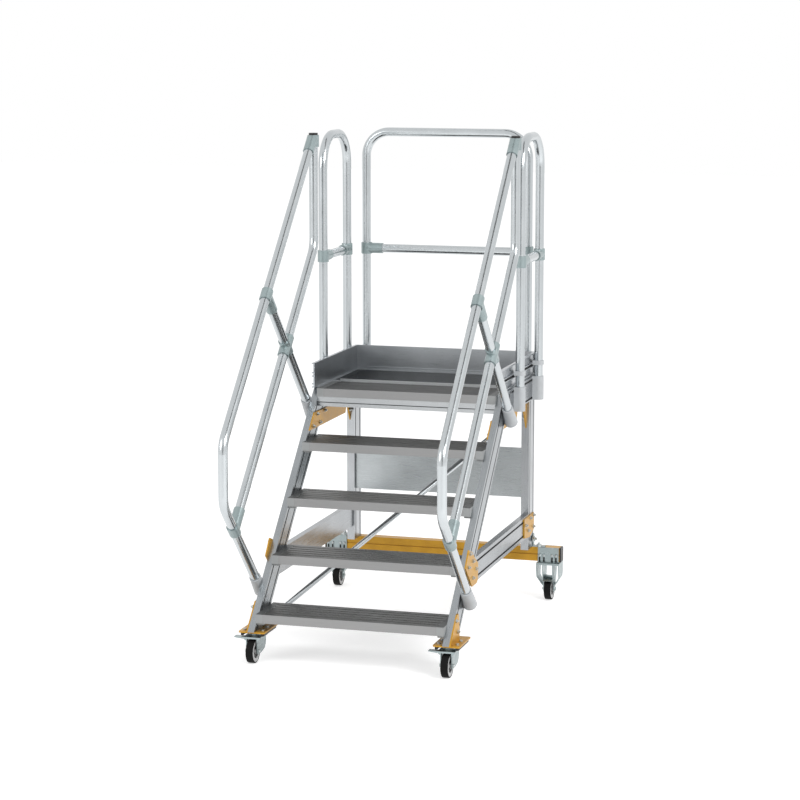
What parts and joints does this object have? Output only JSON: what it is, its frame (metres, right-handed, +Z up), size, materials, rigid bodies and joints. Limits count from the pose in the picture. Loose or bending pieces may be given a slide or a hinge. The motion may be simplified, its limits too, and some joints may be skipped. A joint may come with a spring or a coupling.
{
  "type": "mobile platform stairs",
  "caption": "Aluminium stairs with a railed work platform, handrails on both sides, swivel castors with brake levers in front and fixed castors on a wide cross beam behind.",
  "frame": {"origin": "on the floor under the middle of the object's overall box", "axes": "+Z up, +Y the way the stair climbs, +X to the right of someone who climbs it"},
  "size_m": [1.14, 1.7877, 2.16],
  "materials": {
    "profile": "extruded, satin",
    "tube": "drawn tube, satin",
    "tread": "ribbed extrusion",
    "sheet": "smooth sheet",
    "end_cap": "moulded",
    "bracket": "yellow powder coat",
    "clamp": "blue-grey cast clamp",
    "socket": "light grey moulding",
    "black_plastic": "moulded",
    "zinc": "zinc plated",
    "tyre": "solid rubber",
    "rim": "moulded"
  },
  "bodies": {
    "frame": {"beam_saddles": "zinc", "buffer_pads": "black_plastic", "castor_base_plates": "bracket", "cross_beam": "bracket", "cross_beam_caps": "black_plastic", "deck": "sheet", "deck_joint_strip": "profile", "diagonal_brace": "tube", "guard_clamps": "clamp", "guard_hoop_back": "tube", "guard_hoop_left": "tube", "guard_hoop_right": "tube", "guard_knee_rails": "tube", "guard_sockets": "socket", "handrail_clamps": "clamp", "handrail_left": "tube", "handrail_plugs": "black_plastic", "handrail_right": "tube", "handrail_sockets": "socket", "handrail_struts": "tube", "knee_rail_left": "tube", "knee_rail_right": "tube", "platform_front_beam": "profile", "platform_front_tread": "tread", "platform_gussets": "bracket", "platform_rear_profile": "profile", "platform_side_left": "profile", "platform_side_right": "profile", "post_brackets": "zinc", "rear_castor_forks": "zinc", "rear_panel": "sheet", "rear_post_left": "profile", "rear_post_right": "profile", "side_beam_left": "profile", "side_beam_right": "profile", "side_joint_plates": "bracket", "step_1": "tread", "step_2": "tread", "step_3": "tread", "step_4": "tread", "stringer_left": "profile", "stringer_right": "profile", "swivel_heads": "zinc", "toe_board_left": "sheet", "toe_board_rear": "sheet", "toe_board_right": "sheet", "tread_caps": "end_cap"},
    "fork_left": {"castor_fork_left": "zinc", "brake_lever_left": "zinc"},
    "fork_right": {"castor_fork_right": "zinc", "brake_lever_right": "zinc"},
    "wheel_front_left": {"tyre_front_left": "tyre", "hub_front_left": "rim"},
    "wheel_front_right": {"tyre_front_right": "tyre", "hub_front_right": "rim"},
    "wheel_rear_left": {"tyre_rear_left": "tyre", "hub_rear_left": "rim"},
    "wheel_rear_right": {"tyre_rear_right": "tyre", "hub_rear_right": "rim"}
  },
  "joints": [
    {"name": "swivel_left", "type": "hinge", "parent": "frame", "child": "fork_left", "pos_m": [-0.4205, -0.60085, 0.11], "axis": [0, 0, 1], "continuous": true},
    {"name": "roll_front_left", "type": "hinge", "parent": "fork_left", "child": "wheel_front_left", "pos_m": [-0.4205, -0.64585, 0.05], "axis": [1, 0, 0], "continuous": true},
    {"name": "roll_rear_left", "type": "hinge", "parent": "frame", "child": "wheel_rear_left", "pos_m": [-0.511, 0.81765, 0.05], "axis": [1, 0, 0], "continuous": true},
    {"name": "swivel_right", "type": "hinge", "parent": "frame", "child": "fork_right", "pos_m": [0.4205, -0.60085, 0.11], "axis": [0, 0, 1], "continuous": true},
    {"name": "roll_front_right", "type": "hinge", "parent": "fork_right", "child": "wheel_front_right", "pos_m": [0.4205, -0.64585, 0.05], "axis": [1, 0, 0], "continuous": true},
    {"name": "roll_rear_right", "type": "hinge", "parent": "frame", "child": "wheel_rear_right", "pos_m": [0.511, 0.81765, 0.05], "axis": [1, 0, 0], "continuous": true}
  ]
}
